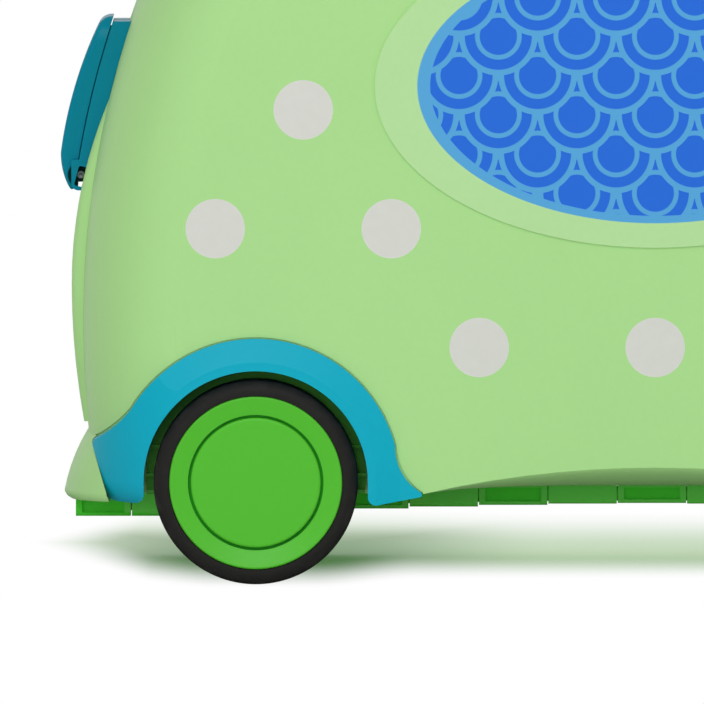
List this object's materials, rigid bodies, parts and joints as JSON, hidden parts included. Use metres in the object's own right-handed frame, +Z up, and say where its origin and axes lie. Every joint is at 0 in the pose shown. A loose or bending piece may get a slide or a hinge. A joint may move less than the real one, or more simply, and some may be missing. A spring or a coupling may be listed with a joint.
{
  "type": "ride-on suitcase",
  "caption": "Hard-shell child's ride-on suitcase: two hinged halves with a saddle top, wheels under wrap-round arches, end catches and grip horns.",
  "frame": {"origin": "on the floor under the middle of the case", "axes": "+X along the case towards the grip horns, +Y from the near half to the far half, +Z up"},
  "size_m": [0.502, 0.218, 0.3667],
  "materials": {
    "shell": "satin moulded",
    "panel": "satin, printed",
    "seat": "fine ribbed",
    "grip": "soft touch",
    "fender": "satin moulded",
    "catch": "satin moulded",
    "tyre": "matt",
    "wheel": "satin moulded",
    "bush": "nylon",
    "carrier": "moulded",
    "hinge": "moulded",
    "steel": "zinc plated",
    "seal": "extruded"
  },
  "bodies": {
    "near_half": {"shell_near": "shell", "hinge_comb_near": "hinge", "hinge_pin": "steel", "side_panel_near": "panel", "seat_panel_near": "seat", "grip_horn_near": "grip", "axle_nuts_near": "steel", "case_screws_near": "steel", "seam_seal": "seal", "fender_near_rear": "fender", "fender_near_front": "fender", "axle_carrier_near_rear": "carrier", "axle_carrier_near_front": "carrier", "axle_near_rear": "steel", "axle_near_front": "steel", "catch_base_rear": "catch", "catch_base_front": "catch", "catch_pin_rear": "steel", "catch_pin_front": "steel"},
    "far_half": {"shell_far": "shell", "hinge_comb_far": "hinge", "side_panel_far": "panel", "seat_panel_far": "seat", "grip_horn_far": "grip", "axle_nuts_far": "steel", "case_screws_far": "steel", "fender_far_rear": "fender", "fender_far_front": "fender", "axle_carrier_far_rear": "carrier", "axle_carrier_far_front": "carrier", "axle_far_rear": "steel", "axle_far_front": "steel", "catch_strike_rear": "catch", "catch_strike_front": "catch"},
    "wheel_near_rear": {"tyre_near_rear": "tyre", "rim_near_rear": "wheel", "hub_cap_near_rear": "wheel", "bush_near_rear": "bush"},
    "wheel_near_front": {"tyre_near_front": "tyre", "rim_near_front": "wheel", "hub_cap_near_front": "wheel", "bush_near_front": "bush"},
    "wheel_far_rear": {"tyre_far_rear": "tyre", "rim_far_rear": "wheel", "hub_cap_far_rear": "wheel", "bush_far_rear": "bush"},
    "wheel_far_front": {"tyre_far_front": "tyre", "rim_far_front": "wheel", "hub_cap_far_front": "wheel", "bush_far_front": "bush"},
    "catch_rear": {"catch_lever_rear": "catch"},
    "catch_front": {"catch_lever_front": "catch"}
  },
  "joints": [
    {"name": "case_hinge", "type": "hinge", "parent": "near_half", "child": "far_half", "pos_m": [0, 0, 0.0325], "axis": [-1, 0, 0], "range_deg": [0, 120]},
    {"name": "wheel_near_rear_spin", "type": "hinge", "parent": "near_half", "child": "wheel_near_rear", "pos_m": [-0.168, -0.0928, 0.043], "axis": [0, 1, 0], "continuous": true},
    {"name": "wheel_near_front_spin", "type": "hinge", "parent": "near_half", "child": "wheel_near_front", "pos_m": [0.168, -0.0928, 0.043], "axis": [0, 1, 0], "continuous": true},
    {"name": "wheel_far_rear_spin", "type": "hinge", "parent": "far_half", "child": "wheel_far_rear", "pos_m": [-0.168, 0.0928, 0.043], "axis": [0, 1, 0], "continuous": true},
    {"name": "wheel_far_front_spin", "type": "hinge", "parent": "far_half", "child": "wheel_far_front", "pos_m": [0.168, 0.0928, 0.043], "axis": [0, 1, 0], "continuous": true},
    {"name": "catch_rear_swing", "type": "hinge", "parent": "near_half", "child": "catch_rear", "pos_m": [-0.2425, -0.011, 0.1688], "axis": [0, -1, 0], "range_deg": [0, 35]},
    {"name": "catch_front_swing", "type": "hinge", "parent": "near_half", "child": "catch_front", "pos_m": [0.2425, -0.011, 0.1688], "axis": [0, 1, 0], "range_deg": [0, 35]}
  ]
}
